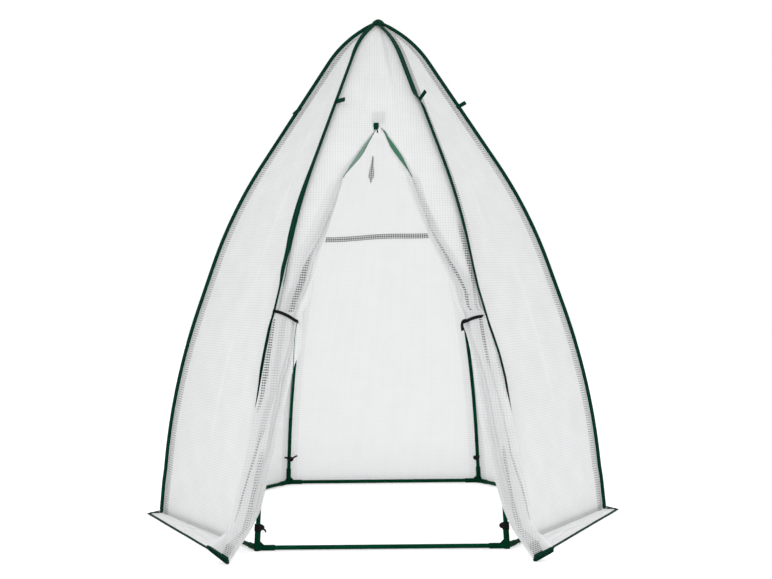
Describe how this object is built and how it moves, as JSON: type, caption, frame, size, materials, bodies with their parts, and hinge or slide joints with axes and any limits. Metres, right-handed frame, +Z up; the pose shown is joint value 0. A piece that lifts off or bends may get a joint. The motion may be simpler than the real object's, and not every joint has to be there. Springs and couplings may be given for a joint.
{
  "type": "plastic greenhouse: six-sided pop-up plant tent of grid film on a tube frame, full size",
  "caption": "Pointed six-sided greenhouse tent: dark green tube frame, white grid film cover with green bound seams, and a zipped front tied back in two flaps.",
  "frame": {"origin": "on the floor, on the axis of the six-sided ground ring", "axes": "+Z up along the axis, the door faces -Y, +X to the right of someone who faces the door"},
  "size_m": [1.936, 1.8286, 2.0023],
  "materials": {
    "tube_green": "smooth dark green powder coat",
    "joint_plastic": "dark green moulded plastic",
    "grid_film": "translucent white polyethylene film with a woven reinforcing grid",
    "binding_green": "dark green woven binding tape",
    "zip_green": "thin green zip tape",
    "lap_film": "doubled film, greyer where it overlaps",
    "strap_black": "black webbing"
  },
  "bodies": {
    "root": {"corner_joint_right": "joint_plastic", "corner_joint_back_right": "joint_plastic", "corner_joint_back_left": "joint_plastic", "corner_joint_left": "joint_plastic", "corner_joint_front_left": "joint_plastic", "corner_joint_front_right": "joint_plastic", "base_tube_back_right": "tube_green", "base_tube_back": "tube_green", "base_tube_back_left": "tube_green", "base_tube_front_left": "tube_green", "base_tube_front": "tube_green", "base_tube_front_right": "tube_green", "pole_right": "tube_green", "pole_back_right": "tube_green", "pole_back_left": "tube_green", "pole_left": "tube_green", "pole_front_left": "tube_green", "pole_front_right": "tube_green", "wall_back_right": "grid_film", "wall_back": "grid_film", "wall_back_left": "grid_film", "wall_front_left": "grid_film", "wall_front": "grid_film", "wall_front_right": "grid_film", "seam_binding_right": "binding_green", "seam_binding_back_right": "binding_green", "seam_binding_back_left": "binding_green", "seam_binding_left": "binding_green", "seam_binding_front_left": "binding_green", "seam_binding_front_right": "binding_green", "crown_hub": "joint_plastic", "ground_flap": "grid_film", "hem_binding": "binding_green", "door_flap_left": "grid_film", "door_flap_right": "grid_film", "tie_strap_left": "strap_black", "tie_strap_right": "strap_black", "zip_tapes": "zip_green", "zip_stop": "binding_green", "zip_patch": "lap_film", "guy_loops": "binding_green", "pole_ties": "strap_black", "rear_lap_seam": "lap_film", "rear_tab": "lap_film"}
  },
  "joints": []
}
